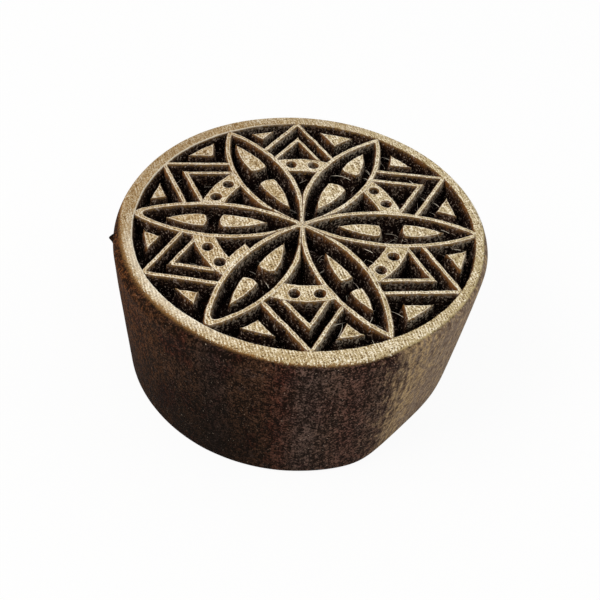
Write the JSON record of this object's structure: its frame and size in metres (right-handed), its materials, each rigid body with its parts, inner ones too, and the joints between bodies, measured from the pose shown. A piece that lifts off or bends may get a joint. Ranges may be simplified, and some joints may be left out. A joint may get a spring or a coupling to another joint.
{
  "type": "textile printing block",
  "caption": "Round hand-carved wooden block for printing cloth, with a petal rosette, chevrons and drilled eyelets raised in relief inside a plain rim.",
  "frame": {"origin": "centre of the flat back, on the axis of the drum", "axes": "+Z from the back to the printing face; +X towards the first petal, to within two degrees"},
  "size_m": [0.076, 0.076, 0.035],
  "materials": {
    "stained_drum": "dark stained, mottled, satin",
    "bare_lines": "bare sanded tops, stained walls, matt"
  },
  "bodies": {
    "root": {"block_body": "stained_drum", "border_ring": "bare_lines", "petal_1": "bare_lines", "petal_2": "bare_lines", "petal_3": "bare_lines", "petal_4": "bare_lines", "petal_5": "bare_lines", "petal_6": "bare_lines", "inner_drop_1": "bare_lines", "inner_drop_2": "bare_lines", "inner_drop_3": "bare_lines", "inner_drop_4": "bare_lines", "inner_drop_5": "bare_lines", "inner_drop_6": "bare_lines", "outer_drop_1": "bare_lines", "outer_drop_2": "bare_lines", "outer_drop_3": "bare_lines", "outer_drop_4": "bare_lines", "outer_drop_5": "bare_lines", "outer_drop_6": "bare_lines", "eyelet_bar_1": "bare_lines", "eyelet_bar_2": "bare_lines", "eyelet_bar_3": "bare_lines", "eyelet_bar_4": "bare_lines", "eyelet_bar_5": "bare_lines", "eyelet_bar_6": "bare_lines", "outer_chevron_1": "bare_lines", "outer_chevron_2": "bare_lines", "outer_chevron_3": "bare_lines", "outer_chevron_4": "bare_lines", "outer_chevron_5": "bare_lines", "outer_chevron_6": "bare_lines", "inner_chevron_1": "bare_lines", "inner_chevron_2": "bare_lines", "inner_chevron_3": "bare_lines", "inner_chevron_4": "bare_lines", "inner_chevron_5": "bare_lines", "inner_chevron_6": "bare_lines", "corner_left_1": "bare_lines", "corner_left_2": "bare_lines", "corner_left_3": "bare_lines", "corner_left_4": "bare_lines", "corner_left_5": "bare_lines", "corner_left_6": "bare_lines", "corner_right_1": "bare_lines", "corner_right_2": "bare_lines", "corner_right_3": "bare_lines", "corner_right_4": "bare_lines", "corner_right_5": "bare_lines", "corner_right_6": "bare_lines"}
  },
  "joints": []
}
